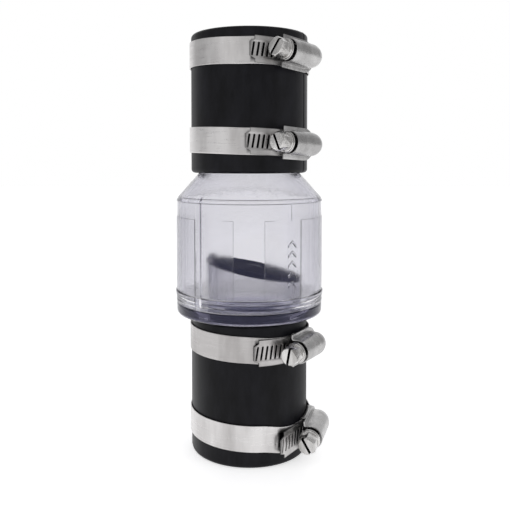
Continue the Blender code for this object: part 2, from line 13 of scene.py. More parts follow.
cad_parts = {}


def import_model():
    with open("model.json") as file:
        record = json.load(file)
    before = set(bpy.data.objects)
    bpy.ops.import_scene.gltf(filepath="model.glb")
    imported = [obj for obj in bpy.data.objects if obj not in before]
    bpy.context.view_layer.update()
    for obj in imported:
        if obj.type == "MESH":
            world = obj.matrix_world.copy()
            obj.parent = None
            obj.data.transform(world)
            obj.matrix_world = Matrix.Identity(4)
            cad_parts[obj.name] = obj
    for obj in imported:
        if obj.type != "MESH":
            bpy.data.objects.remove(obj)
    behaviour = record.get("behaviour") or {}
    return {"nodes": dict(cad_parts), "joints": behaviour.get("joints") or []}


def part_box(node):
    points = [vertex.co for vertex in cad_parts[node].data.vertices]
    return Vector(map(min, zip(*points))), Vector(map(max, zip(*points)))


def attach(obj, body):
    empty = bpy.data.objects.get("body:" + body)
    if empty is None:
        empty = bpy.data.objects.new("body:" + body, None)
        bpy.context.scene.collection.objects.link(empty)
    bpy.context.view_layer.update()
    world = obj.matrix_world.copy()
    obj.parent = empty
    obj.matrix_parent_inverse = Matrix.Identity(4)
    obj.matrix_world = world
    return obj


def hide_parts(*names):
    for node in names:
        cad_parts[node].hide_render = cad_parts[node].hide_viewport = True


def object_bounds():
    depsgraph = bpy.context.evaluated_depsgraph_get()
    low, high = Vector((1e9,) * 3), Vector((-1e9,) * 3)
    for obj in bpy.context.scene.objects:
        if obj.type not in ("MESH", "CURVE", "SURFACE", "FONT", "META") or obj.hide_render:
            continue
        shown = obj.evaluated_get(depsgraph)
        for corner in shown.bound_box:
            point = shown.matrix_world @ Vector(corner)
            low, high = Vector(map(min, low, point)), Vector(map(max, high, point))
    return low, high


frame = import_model()
CAD_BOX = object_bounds()
MM = 0.001
GAP = 0.3 * MM
EDGE_STEP = 0.05 * MM
SHARP_DEG = 28.0
SMALL_SHARP_DEG = 35.0
SHEET_SHARP_DEG = 40.0
SHEET_BEVEL_DEG = 50.0
HEAD_BEVEL_DEG = 25.0
ARC_STEP_DEG = 15.0
STRAIGHT_DEG = 175.0
CORNER_SHARE = 0.45
LEAST_ROW_STEP = 0.02 * MM
LEAST_STEP_DEG = 0.05
FINE_STEP_DEG = 0.35
EDGE_CLEAR_DEG = 0.12

LOWER_LOW_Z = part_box("lower_housing")[0].z
UPPER_HIGH_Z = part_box("upper_housing")[1].z


def joint(name):
    """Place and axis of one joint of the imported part."""
    found = next(j for j in frame["joints"] if j["name"] == name)
    return Vector(found["pos_m"]), Vector(found["axis"]).normalized()


HINGE = joint("flapper_swing")[0]

# ---------------------------------------------------------------- clear housings
PIPE_OUTER_R = 24.15 * MM
BORE_R = 20.4 * MM
WALL_OUTER_R = 35.6 * MM
WALL_INNER_R = 32.6 * MM
LIP_TOP_Z = 79.3 * MM
LIP_BOTTOM_Z = LIP_TOP_Z - 1.7 * MM
CAP_STEP_Z = LIP_TOP_Z - 5.9 * MM
FLOOR_TOP_Z = 72.5 * MM
FLANGE_BOTTOM_Z = 67.7 * MM
LIP_R = 36.4 * MM
CAP_R = 36.0 * MM
CAP_SKIN = 0.5 * MM
CAP_SOCKET_R = 34.6 * MM
TONGUE_R = 34.3 * MM
SHOULDER_Z = 123.3 * MM
SHOULDER_TOP_Z = 124.9 * MM
SHOULDER_TOP_R = 35.1 * MM
SHOULDER_RIDGE_R = WALL_OUTER_R + 0.4 * MM
CONE_TOP_Z = 136.2 * MM
CONE_TOP_R = 24.9 * MM
CONE_SKIN = 0.3 * MM
PIPE_CHAMFER = 0.8 * MM
HOUSING_STEP_DEG = 1.5
EDGE_SPREAD_DEG = 0.06
PANEL_TOP_Z = 115.4 * MM
PANEL_RAISE = 0.3 * MM
PANELS = ((41.5, 138.5), (-135.5, -44.5))
BEAD = (-43.9, -37.5)
BEAD_RAISE = 0.45 * MM
BEAD_FLANK = 0.45
BEAD_TOP_Z = SHOULDER_TOP_Z + 0.9 * MM
CAP_BEAD_RAISE = 0.6 * MM
CAP_BEAD_FADE = 3.0 * MM
CAP_ROW_STEP = 0.5 * MM
WINDOW_STRIPS = ((-20.0, -11.6), (11.2, 18.8))
WINDOW_STRIP_RAISE = 0.3 * MM
WINDOW_BOTTOM_Z = LIP_TOP_Z + 0.6 * MM
MOULD_LINE = 32.5
MOULD_LINE_HALF = 0.22
MOULD_LINE_DEPTH = 0.16 * MM
MOULD_LINE_TOP_Z = SHOULDER_Z - 1.0 * MM
MARK_CENTRE = 33.2
MARK_HALF = 3.6
MARK_LOW_Z = 84.5 * MM
MARK_PITCH = 4.6 * MM
MARK_COUNT = 5
MARK_STROKE = 1.1 * MM
MARK_POINT = 2.2 * MM
MARK_ROW_STEP = 0.3 * MM
MARK_RAISE = 0.45 * MM
HAZE_WINDOW = 0.0
HAZE_EDGES = 0.1
HAZE_CONE = 0.5
HAZE_WALL = 1.0
HAZE_SEAT = 0.8
HAZE_CAP = 0.2

SEAT_X = 2.5 * MM
SEAT_Z = 88.5 * MM
SEAT_SLOPE = math.radians(11.5)
SEAT_OUTER_R = 23.0 * MM
SEAT_INNER_R = 19.6 * MM
SEAT_SEGMENTS = 160
SEAT_SINK = 2.4 * MM
SEAT_SPARE = 12.0 * MM
SEAT_CUT_HALF = 50.0 * MM
SEAT_BORE_SINK = SEAT_SINK + 1.0 * MM
SEAT_BORE_SPARE = 20.0 * MM
LUG_SEGMENTS = 32
LUG_INNER_Y = 6.3 * MM
LUG_OUTER_Y = 8.3 * MM
LUG_DEPTH = 11.0 * MM

# ---------------------------------------------------------------- flapper
HINGE_DISTANCE = 22.0 * MM
HINGE_HEIGHT = 1.9 * MM
KNUCKLE_R = 1.9 * MM
KNUCKLE_HALF_WIDTH = 6.0 * MM
KNUCKLE_SEGMENTS = 40
NECK_OVERLAP = 2.0 * MM
DISC_R = 22.8 * MM
DISC_THICKNESS = 2.2 * MM
DISC_CHORD = KNUCKLE_R + 0.8 * MM
DISC_SEGMENTS = 120
DISC_ROUNDING = 0.45 * MM

# ---------------------------------------------------------------- couplings
COUPLING_R = 28.5 * MM
COUPLING_BORE_R = 24.45 * MM
COUPLING_SKIN = 1.2 * MM
COUPLING_STEP_DEG = 1.875
COUPLING_ARC_STEP_DEG = 10.0
COUPLING_ROUNDING = 2.0 * MM
COUPLING_BORE_ROUNDING = 0.6 * MM
OUTLET_SEAM_DEG = 66.0
INLET_SEAM_DEG = 96.0
SEAM_HALF_DEG = 0.6
SEAM_GROOVE_DEG = 1.5
SEAM_RAISE = 0.12 * MM
SEAM_SINK = 0.18 * MM
SEAM_SPREAD_DEG = 0.12

# ---------------------------------------------------------------- hose clamps
BAND_WIDTH = 12.3 * MM
BAND_THICKNESS = 0.5 * MM
BAND_R = COUPLING_R + GAP
BAND_GAP = 0.2 * MM
SADDLE_THICKNESS = 0.4 * MM
BAND_SADDLE_R = BAND_R + SADDLE_THICKNESS + BAND_GAP
LAYER = BAND_THICKNESS + BAND_GAP
SADDLE_HALF_DEG = 13.0
BULGE_DEG = 9.0
SADDLE_RAIL_Z = 30.6 * MM
FIXED_END_DEG = 8.0
TWIST_HOLD_DEG = 20.0
TWIST_FADE_DEG = 60.0
LAYER_START_DEG = 360.0 - FIXED_END_DEG - 26.0
LAYER_RISE_DEG = 24.0
NEAR_END_DEG = 300.0
TIP_SETBACK = 2.4 * MM
TIP_EDGE_STEP = 0.4 * MM
SLOT_PITCH = 2.25 * MM
SLOT_WIDTH = 0.9 * MM
SLOT_LENGTH = 6.4 * MM
SLOT_LEAN = -math.tan(math.radians(9.0))
SLOT_COUNT = 7
SLOT_START = 1.2 * MM
BAND_STEP_DEG = 2.0
TAIL_LENGTH = 19.0 * MM
# painted shade along the edges and at the tip of a clamp's tail
EDGE_SHADE = 0.8
# clamp whose band has a darker copy of the band steel
DARKER_CLAMP = 3
BAND_EDGE = 0.12 * MM
WORM_R = 3.1 * MM
WORM_ROOT_R = 2.5 * MM
WORM_END_X = 6.4 * MM
WORM_SEGMENTS = 40
WORM_STEPS = 130
COLLAR_R = 4.9 * MM
COLLAR_RIM = 0.25 * MM
SHANK_R = 2.8 * MM
FLANGE_R = 4.6 * MM
NECK_R = 4.3 * MM
COLLAR_X = (-12.6 * MM, -11.4 * MM)
HEX_FLATS = 7.94 * MM
HEAD_FACE_X = -19.4 * MM
HEAD_EDGE = 0.14 * MM
HEAD_SINK = 0.4 * MM
# distance behind the head's face, and radius as a share of the hexagon's
HEAD_CHAMFER = ((-0.01 * MM, 0.80), (0.75 * MM, 0.985), (1.3 * MM, 1.02))
DRIVE_SLOT_WIDTH = 1.2 * MM
DRIVE_SLOT_DEPTH = 1.6 * MM
DRIVE_SLOT_REACH = 10.0 * MM
COVER_FRONT_X = -10.7 * MM
COVER_STRAIGHT_X = 4.0 * MM
COVER_END_X = 10.4 * MM
COVER_R = 5.24 * MM
COVER_THICKNESS = 0.6 * MM
COVER_EDGE = 0.18 * MM
COVER_ROLL = 0.35 * MM
COVER_ARCH_POINTS = 28
COVER_END_STEPS = 10
COVER_END_REACH = 0.955
COVER_END_WIDTH = 0.30
COVER_END_HEIGHT = 0.45
SADDLE_STEPS = 24
SADDLE_EDGE = 0.1 * MM
SADDLE_ROUNDING = (0.2 * MM, 0.5 * MM)
COVER_FOOT_HALF_WIDTH = 7.5 * MM
COVER_FOOT_Z = 31.2 * MM

# Height; lean and twist of the band; azimuths of the housing, of the tail's tip and of where the tail leaves
# the round; turn of the screwdriver slot; even darkening of the tail
CLAMPS = tuple(
    dict(zip(("z", "lean", "twist", "housing", "tip", "lift", "slot", "darkening"), values))
    for values in (
        (0.1919, 2.4, -2.5, 46.0, 0.0, None, -54.0, 0.28),
        (0.1511, 2.5, -1.0, 47.0, -4.0, None, 63.0, 0.28),
        (0.0557, 1.7, 3.0, 56.0, 3.5, 14.0, -78.0, 0.0),
        (0.0143, 2.4, 8.0, 71.5, 26.0, 50.0, 62.0, 0.15),
    )
)


# ---------------------------------------------------------------- mesh helpers
def mesh_from(bm, name, sharp_deg=SMALL_SHARP_DEG):
    """Smooth-shaded mesh with its normals outwards and its edges sharp beyond an angle."""
    bmesh.ops.recalc_face_normals(bm, faces=bm.faces)
    mesh = bpy.data.meshes.new(name)
    bm.to_mesh(mesh)
    bm.free()
    mesh.shade_smooth()
    mesh.set_sharp_from_angle(angle=math.radians(sharp_deg))
    return mesh


def add_object(name, mesh):
    ob = bpy.data.objects.new(name, mesh)
    bpy.context.scene.collection.objects.link(ob)
    return ob


def apply_modifiers(ob):
    """Leave the object with the mesh that its modifiers make."""
    graph = bpy.context.evaluated_depsgraph_get()
    graph.update()
    mesh = bpy.data.meshes.new_from_object(ob.evaluated_get(graph))
    ob.modifiers.clear()
    ob.data = mesh


def piece(name, mesh, material, body, slot, *nodes):
    """A shown piece that rides on a body and stands for CAD nodes."""
    ob = mesh if isinstance(mesh, bpy.types.Object) else add_object(name, mesh)
    ob.data.materials.clear()
    ob.data.materials.append(material)
    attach(ob, body)
    if nodes:
        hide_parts(*nodes)
    return ob


def rounded(corners, step_deg=ARC_STEP_DEG):
    """Closed outline through (r, z, corner radius), with each corner as an arc."""
    outline = []
    for index, (r, z, radius) in enumerate(corners):
        corner = Vector((r, z))
        back = Vector(corners[index - 1][:2]) - corner
        ahead = Vector(corners[(index + 1) % len(corners)][:2]) - corner
        turn = back.angle(ahead)
        if radius <= 0.0 or turn > math.radians(STRAIGHT_DEG):
            outline.append(corner)
            continue
        longest = CORNER_SHARE * min(back.length, ahead.length)
        reach = min(radius / math.tan(turn / 2.0), longest)
        real = reach * math.tan(turn / 2.0)
        middle = (back.normalized() + ahead.normalized()).normalized()
        centre = corner + middle * (real / math.sin(turn / 2.0))
        start = corner + back.normalized() * reach - centre
        sweep = start.angle_signed(corner + ahead.normalized() * reach - centre)
        count = max(2, round(abs(math.degrees(sweep)) / step_deg))
        for k in range(count + 1):
            angle = -sweep * k / count
            cos, sin = math.cos(angle), math.sin(angle)
            outline.append(centre + Vector((start.x * cos - start.y * sin, start.x * sin + start.y * cos)))
    return outline


def with_rows(outline, heights):
    """Extra points where the outline's upright outer wall passes the given heights."""
    result = []
    for index, point in enumerate(outline):
        following = outline[(index + 1) % len(outline)]
        result.append(point)
        if min(point.x, following.x) < WALL_OUTER_R - 2.0 * EDGE_STEP:
            continue
        low, high = sorted((point.y, following.y))
        inside = [z for z in heights if low + LEAST_ROW_STEP < z < high - LEAST_ROW_STEP]
        inside.sort(reverse=following.y < point.y)
        for z in inside:
            result.append(point.lerp(following, (z - point.y) / (following.y - point.y)))
    return result


def columns(step, edges, spread, fine=()):
    """Azimuths all the way round, with a close pair at each edge and closer ones in the fine stretches."""
    degrees = [-180.0 + step * i for i in range(round(360.0 / step))]
    for low, high in fine:
        degrees += [low + FINE_STEP_DEG * i for i in range(round((high - low) / FINE_STEP_DEG) + 1)]
    close = []
    for edge in edges:
        close += [edge - spread, edge + spread]
    degrees = [d for d in degrees if all(abs(d - c) > EDGE_CLEAR_DEG for c in close)]
    ordered = sorted(set(round(d, 4) for d in degrees + close))
    kept = [ordered[0]]
    for d in ordered[1:]:
        if d - kept[-1] > LEAST_STEP_DEG:
            kept.append(d)
    return kept


def ring_point(radius, degrees, z):
    """Point at a distance from the valve's axis, at an azimuth and a height."""
    angle = math.radians(degrees)
    return Vector((radius * math.sin(angle), -radius * math.cos(angle), z))


def lathe(name, outline, degrees, relief=None, haze=None):
    """Closed outline turned round the valve's axis; relief gives the radius at an azimuth and a height."""
    bm = bmesh.new()
    layer = bm.verts.layers.float.new("haze") if haze else None
    rings = []
    for d in degrees:
        ring = []
        for point in outline:
            radius = relief(d, point.x, point.y) if relief else point.x
            vert = bm.verts.new(ring_point(radius, d, point.y))
            if layer:
                vert[layer] = haze(d, point.y)
            ring.append(vert)
        rings.append(ring)
    for a, b in zip(rings, rings[1:] + rings[:1]):
        for i in range(len(outline)):
            j = (i + 1) % len(outline)
            bm.faces.new((a[i], b[i], b[j], a[j]))
    return mesh_from(bm, name, SHARP_DEG)


def cylinder(name, radius, low, high, matrix, segments):
    """Closed cylinder from low to high along the matrix's Z."""
    bm = bmesh.new()
    place = matrix @ Matrix.Translation((0.0, 0.0, (low + high) / 2.0))
    bmesh.ops.create_cone(
        bm, cap_ends=True, segments=segments, radius1=radius, radius2=radius, depth=high - low, matrix=place
    )
    return mesh_from(bm, name)


def box(name, low, high, matrix=Matrix.Identity(4)):
    """Closed box between two corners, placed by the matrix."""
    low, high = Vector(low), Vector(high)
    bm = bmesh.new()
    place = matrix @ Matrix.Translation((low + high) / 2.0) @ Matrix.Diagonal((*(high - low), 1.0))
    bmesh.ops.create_cube(bm, size=1.0, matrix=place)
    return mesh_from(bm, name)


def combine(ob, steps):
    """Boolean steps on the object, each a mesh and UNION, DIFFERENCE or INTERSECT."""
    for mesh, operation in steps:
        other = add_object("tool", mesh)
        modifier = ob.modifiers.new(operation.title(), "BOOLEAN")
        modifier.operation = operation
        modifier.solver = "EXACT"
        modifier.object = other
        apply_modifiers(ob)
        bpy.data.objects.remove(other, do_unlink=True)
    ob.data.shade_smooth()
    ob.data.set_sharp_from_angle(angle=math.radians(SHARP_DEG))


def joined(name, meshes):
    """One mesh made of several closed ones."""
    bm = bmesh.new()
    for mesh in meshes:
        bm.from_mesh(mesh)
    return mesh_from(bm, name)


def smooth_step(value):
    """0 below 0, 1 above 1, and an even S between."""
    value = min(1.0, max(0.0, value))
    return value * value * (3.0 - 2.0 * value)


# ---------------------------------------------------------------- materials
class Shader:
    """A Principled material with a few short cuts for procedural detail."""

    def __init__(self, name, colour, roughness, metallic=0.0):
        self.material = bpy.data.materials.new(name)
        self.material.use_nodes = True
        self.tree = self.material.node_tree
        self.bsdf = self.tree.nodes["Principled BSDF"]
        self.bsdf.inputs["Base Color"].default_value = (*colour, 1.0)
        self.bsdf.inputs["Roughness"].default_value = roughness
        self.bsdf.inputs["Metallic"].default_value = metallic
        self.coordinates = self.tree.nodes.new("ShaderNodeTexCoord")

    def link(self, source, target):
        self.tree.links.new(source, target)

    def noise(self, scale, stretch=(1.0, 1.0, 1.0), detail=3.0, roughness=0.55):
        mapping = self.tree.nodes.new("ShaderNodeMapping")
        mapping.inputs["Scale"].default_value = stretch
        self.link(self.coordinates.outputs["Object"], mapping.inputs["Vector"])
        node = self.tree.nodes.new("ShaderNodeTexNoise")
        node.inputs["Scale"].default_value = scale
        node.inputs["Detail"].default_value = detail
        node.inputs["Roughness"].default_value = roughness
        self.link(mapping.outputs["Vector"], node.inputs["Vector"])
        return node.outputs["Fac"]

    def spread(self, value, low, high, from_low=0.35, from_high=0.65):
        node = self.tree.nodes.new("ShaderNodeMapRange")
        node.inputs["From Min"].default_value = from_low
        node.inputs["From Max"].default_value = from_high
        node.inputs["To Min"].default_value = low
        node.inputs["To Max"].default_value = high
        self.link(value, node.inputs["Value"])
        return node.outputs["Result"]

    def tint(self, value, low, high, start=0.35, end=0.65):
        node = self.tree.nodes.new("ShaderNodeValToRGB")
        node.color_ramp.elements[0].position = start
        node.color_ramp.elements[0].color = (*low, 1.0)
        node.color_ramp.elements[1].position = end
        node.color_ramp.elements[1].color = (*high, 1.0)
        self.link(value, node.inputs["Fac"])
        return node.outputs["Color"]

    def bump(self, height, strength, distance, below=None):
        node = self.tree.nodes.new("ShaderNodeBump")
        node.inputs["Strength"].default_value = strength
        node.inputs["Distance"].default_value = distance
        self.link(height, node.inputs["Height"])
        if below:
            self.link(below, node.inputs["Normal"])
        self.link(node.outputs["Normal"], self.bsdf.inputs["Normal"])
        return node.outputs["Normal"]


PVC_IOR = 1.53
PVC_TINT = (0.56, 0.55, 0.64)
# near-black mixed into the steel where painted shade is set, and where some tails are darkened evenly
DARKENING_COLOUR = (0.004, 0.004, 0.005)


def clear_plastic(name, window_roughness, wall_roughness, density, gloss):
    """Clear PVC: tinted by its thickness, slightly hazy except in the sight window."""
    shader = Shader(name, (0.97, 0.97, 0.97), wall_roughness)
    shader.bsdf.inputs["Transmission Weight"].default_value = 1.0
    shader.bsdf.inputs["IOR"].default_value = PVC_IOR
    shader.bsdf.inputs["Specular Tint"].default_value = (*gloss, 1.0)
    haze = shader.tree.nodes.new("ShaderNodeAttribute")
    haze.attribute_name = "haze"
    roughness = shader.spread(haze.outputs["Fac"], window_roughness, wall_roughness, 0.0, 1.0)
    shader.link(roughness, shader.bsdf.inputs["Roughness"])
    streaks = shader.noise(1.0, (420.0, 420.0, 9.0), 2.0)
    ripples = shader.noise(150.0, (1.0, 1.0, 0.6), 2.0)
    below = shader.bump(streaks, 0.20, 0.25 * MM)
    shader.bump(ripples, 0.06, 0.4 * MM, below)
    volume = shader.tree.nodes.new("ShaderNodeVolumeAbsorption")
    volume.inputs["Color"].default_value = (*PVC_TINT, 1.0)
    volume.inputs["Density"].default_value = density
    output = shader.tree.nodes["Material Output"]
    shader.link(volume.outputs["Volume"], output.inputs["Volume"])
    return shader.material


def rubber(name, low, high, roughness, grain, shine):
    """Matt black rubber with a fine grain and faint upright smears."""
    shader = Shader(name, low, roughness)
    shader.bsdf.inputs["Specular IOR Level"].default_value = shine
    cloud = shader.noise(120.0, (1.0, 1.0, 0.35), 5.0, 0.65)
    shader.link(shader.tint(cloud, low, high), shader.bsdf.inputs["Base Color"])
    smear = shader.noise(60.0, (1.0, 1.0, 0.12), 3.0)
    shader.link(shader.spread(smear, roughness - 0.07, roughness + 0.10), shader.bsdf.inputs["Roughness"])
    fine = shader.noise(grain, detail=5.0, roughness=0.7)
    wide = shader.noise(110.0, (1.0, 1.0, 0.2), 2.0)
    below = shader.bump(wide, 0.15, 0.3 * MM)
    shader.bump(fine, 0.30, 0.08 * MM, below)
    return shader.material


def steel(name, low, high, roughness, brushing, brush_strength=0.05, dents=0.05):
    """Satin stainless, brushed along the stretched direction, with stains and tiny dents, and a darkening
    attribute that mixes in near-black for painted shade and for the even darkening of some tails.
    """
    shader = Shader(name, high, roughness, 1.0)
    stain = shader.noise(70.0, (1.0, 1.0, 0.25), 4.0, 0.6)
    clean = shader.tint(stain, low, high, 0.30, 0.60)
    # painted shade: a mesh attribute mixes the near-black colour into the steel
    darkening = shader.tree.nodes.new("ShaderNodeAttribute")
    darkening.attribute_name = "darkening"
    mix = shader.tree.nodes.new("ShaderNodeMix")
    mix.data_type = "RGBA"
    for socket in mix.inputs:
        if socket.type == "RGBA" and socket.name == "A":
            shader.link(clean, socket)
        if socket.type == "RGBA" and socket.name == "B":
            socket.default_value = (*DARKENING_COLOUR, 1.0)
    shader.link(darkening.outputs["Fac"], mix.inputs["Factor"])
    result = next(socket for socket in mix.outputs if socket.type == "RGBA")
    shader.link(result, shader.bsdf.inputs["Base Color"])
    lines = shader.noise(1.0, brushing, 3.0, 0.7)
    shader.link(shader.spread(lines, roughness - 0.06, roughness + 0.10), shader.bsdf.inputs["Roughness"])
    below = shader.bump(lines, brush_strength, 0.05 * MM)
    pits = shader.noise(700.0, detail=4.0, roughness=0.65)
    shader.bump(pits, dents, 0.12 * MM, below)
    return shader.material


BAND_BRUSHING = (70.0, 70.0, 1400.0)
WALL_PVC = clear_plastic("clear_pvc", 0.03, 0.20, 135.0, (0.40, 0.40, 0.62))
CAP_PVC = clear_plastic("clear_pvc_cap", 0.03, 0.22, 110.0, (0.60, 0.60, 0.95))
COUPLING_BLACK = ((0.002, 0.002, 0.003), (0.009, 0.009, 0.012))
FLAPPER_BLACK = ((0.004, 0.005, 0.018), (0.006, 0.008, 0.026))
COUPLING_RUBBER = rubber("coupling_rubber", *COUPLING_BLACK, 0.40, 2600.0, 0.14)
FLAPPER_RUBBER = rubber("flapper_rubber", *FLAPPER_BLACK, 0.75, 1800.0, 0.02)
BAND_STEEL = steel("band_steel", (0.48, 0.465, 0.46), (0.72, 0.705, 0.70), 0.32, BAND_BRUSHING)
# a darker copy of the band steel, used on one clamp
DARKER_BAND_STEEL = steel("darker_band_steel", (0.33, 0.315, 0.31), (0.49, 0.475, 0.47), 0.32, BAND_BRUSHING)
HOUSING_GREYS = ((0.24, 0.235, 0.235), (0.52, 0.515, 0.51))
HOUSING_STEEL = steel("housing_steel", *HOUSING_GREYS, 0.30, (500.0,) * 3, 0.4, 0.9)
SCREW_STEEL = steel("screw_steel", (0.22, 0.21, 0.20), (0.80, 0.79, 0.78), 0.20, (900.0,) * 3, 0.8, 1.0)
DARK_STEEL = steel("dark_steel", (0.012, 0.014, 0.025), (0.025, 0.028, 0.045), 0.55, (300.0,) * 3)


# ---------------------------------------------------------------- upper housing
def is_outer_wall(radius):
    """Whether a point of the profile is on the outside of the wall."""
    return radius > WALL_OUTER_R - EDGE_STEP


def mark_raise(degrees, z):
    """Raised chevrons that point the way the water flows."""
    across = abs(degrees - MARK_CENTRE)
    if across > MARK_HALF:
        return 0.0
    height = z - MARK_LOW_Z
    index = math.floor(height / MARK_PITCH)
    if not 0 <= index < MARK_COUNT:
        return 0.0
    line = (1.0 - across / MARK_HALF) * MARK_POINT
    inside = height - index * MARK_PITCH - line
    return MARK_RAISE if 0.0 <= inside <= MARK_STROKE else 0.0


def bead_rise(degrees):
    """Flat-topped section of the locating bead with steep sides, 0 to 1."""
    across = abs(degrees - (BEAD[0] + BEAD[1]) / 2.0) / (BEAD[1] - BEAD[0]) * 2.0
    return smooth_step((1.0 - across) / BEAD_FLANK)


def upper_relief(degrees, radius, z):
    """Radius of the upper housing with its bead, mould line, side panels, window strips and marks."""
    on_cone = SHOULDER_Z - 0.1 * MM < z < BEAD_TOP_Z and radius > cone_point(z)[0] - CONE_SKIN
    if BEAD[0] <= degrees <= BEAD[1] and (is_outer_wall(radius) or on_cone):
        return radius + BEAD_RAISE * bead_rise(degrees)
    if not is_outer_wall(radius):
        return radius
    if abs(degrees - MOULD_LINE) < MOULD_LINE_HALF and PANEL_TOP_Z < z < MOULD_LINE_TOP_Z:
        return radius - MOULD_LINE_DEPTH
    if z > PANEL_TOP_Z:
        return radius
    if any(start <= degrees <= end for start, end in PANELS):
        return radius + PANEL_RAISE
    if any(start <= degrees <= end for start, end in WINDOW_STRIPS):
        return radius + WINDOW_STRIP_RAISE
    if WINDOW_STRIPS[0][1] < degrees < WINDOW_STRIPS[1][0]:
        return radius if z > WINDOW_BOTTOM_Z else radius + WINDOW_STRIP_RAISE
    return radius + mark_raise(degrees, z)


def upper_haze(degrees, z):
    """None in the polished sight window, low on the joint and the shoulder, full on the other wall."""
    if WINDOW_STRIPS[0][1] < degrees < WINDOW_STRIPS[1][0] and z < PANEL_TOP_Z:
        return HAZE_WINDOW
    if z < LIP_TOP_Z + 0.4 * MM or SHOULDER_Z - 1.5 * MM < z < SHOULDER_TOP_Z + 0.5 * MM:
        return HAZE_EDGES
    return HAZE_WALL if z < SHOULDER_TOP_Z else HAZE_CONE


def cone_point(z):
    """Corner on the outside of the cone at a height."""
    share = (z - SHOULDER_TOP_Z) / (CONE_TOP_Z - SHOULDER_TOP_Z)
    return SHOULDER_TOP_R + (CONE_TOP_R - SHOULDER_TOP_R) * share, z, 0.0


def upper_housing():
    """Wall, shoulder, cone and outlet spigot, with the tongue that sits in the cap's socket."""
    wall_bottom = LIP_TOP_Z + GAP
    tongue_bottom = FLOOR_TOP_Z + GAP
    cone_drop = 4.2 * MM
    corners = [
        (PIPE_OUTER_R - PIPE_CHAMFER, UPPER_HIGH_Z, 0.2 * MM),
        (BORE_R, UPPER_HIGH_Z, 0.4 * MM),
        (BORE_R, CONE_TOP_Z - cone_drop + 4.0 * MM, 2.0 * MM),
        (WALL_INNER_R, SHOULDER_TOP_Z - cone_drop + 2.4 * MM, 0.5 * MM),
        (WALL_INNER_R, tongue_bottom, 0.4 * MM),
        (TONGUE_R, tongue_bottom, 0.4 * MM),
        (TONGUE_R, wall_bottom, 0.2 * MM),
        (WALL_OUTER_R, wall_bottom, 0.3 * MM),
        (WALL_OUTER_R, SHOULDER_Z - 0.6 * MM, 0.0),
        (SHOULDER_RIDGE_R, SHOULDER_Z - 0.4 * MM, 0.1 * MM),
        (SHOULDER_RIDGE_R, SHOULDER_Z, 0.15 * MM),
        (SHOULDER_TOP_R, SHOULDER_TOP_Z - 0.2 * MM, 0.0),
        (SHOULDER_TOP_R + 0.15 * MM, SHOULDER_TOP_Z, 0.1 * MM),
        cone_point(BEAD_TOP_Z - 0.05 * MM),
        cone_point(BEAD_TOP_Z + 0.45 * MM),
        cone_point(BEAD_TOP_Z + 0.75 * MM),
        cone_point(BEAD_TOP_Z + 1.5 * MM),
        (CONE_TOP_R, CONE_TOP_Z, 0.5 * MM),
        (PIPE_OUTER_R, CONE_TOP_Z + 0.4 * MM, 0.3 * MM),
        (PIPE_OUTER_R, UPPER_HIGH_Z - PIPE_CHAMFER, 0.2 * MM),
    ]
    heights = []
    for z in (PANEL_TOP_Z, WINDOW_BOTTOM_Z, MOULD_LINE_TOP_Z):
        heights += [z - EDGE_STEP, z + EDGE_STEP]
    mark_rows = round(MARK_COUNT * MARK_PITCH / MARK_ROW_STEP) + 1
    heights += [MARK_LOW_Z + MARK_ROW_STEP * i for i in range(mark_rows)]
    edges = [*WINDOW_STRIPS[0], *WINDOW_STRIPS[1], *BEAD, *PANELS[0], *PANELS[1]]
    edges += [MOULD_LINE - MOULD_LINE_HALF, MOULD_LINE + MOULD_LINE_HALF]
    fine = ((MARK_CENTRE - MARK_HALF, MARK_CENTRE + MARK_HALF), BEAD)
    degrees = columns(HOUSING_STEP_DEG, edges, EDGE_SPREAD_DEG, fine)
    outline = with_rows(rounded(corners), heights)
    mesh = lathe("clear_upper_housing", outline, degrees, upper_relief, upper_haze)
    return piece("clear_upper_housing", mesh, WALL_PVC, "valve_body", "clear_pvc", "upper_housing")


# ---------------------------------------------------------------- lower housing
def lower_relief(degrees, radius, z):
    """Radius of the cap, where the locating bead fades out towards its step."""
    if BEAD[0] <= degrees <= BEAD[1] and radius > CAP_R - CAP_SKIN and CAP_STEP_Z < z < LIP_TOP_Z:
        return CAP_R + CAP_BEAD_RAISE * bead_rise(degrees) * smooth_step((z - CAP_STEP_Z) / CAP_BEAD_FADE)
    return radius


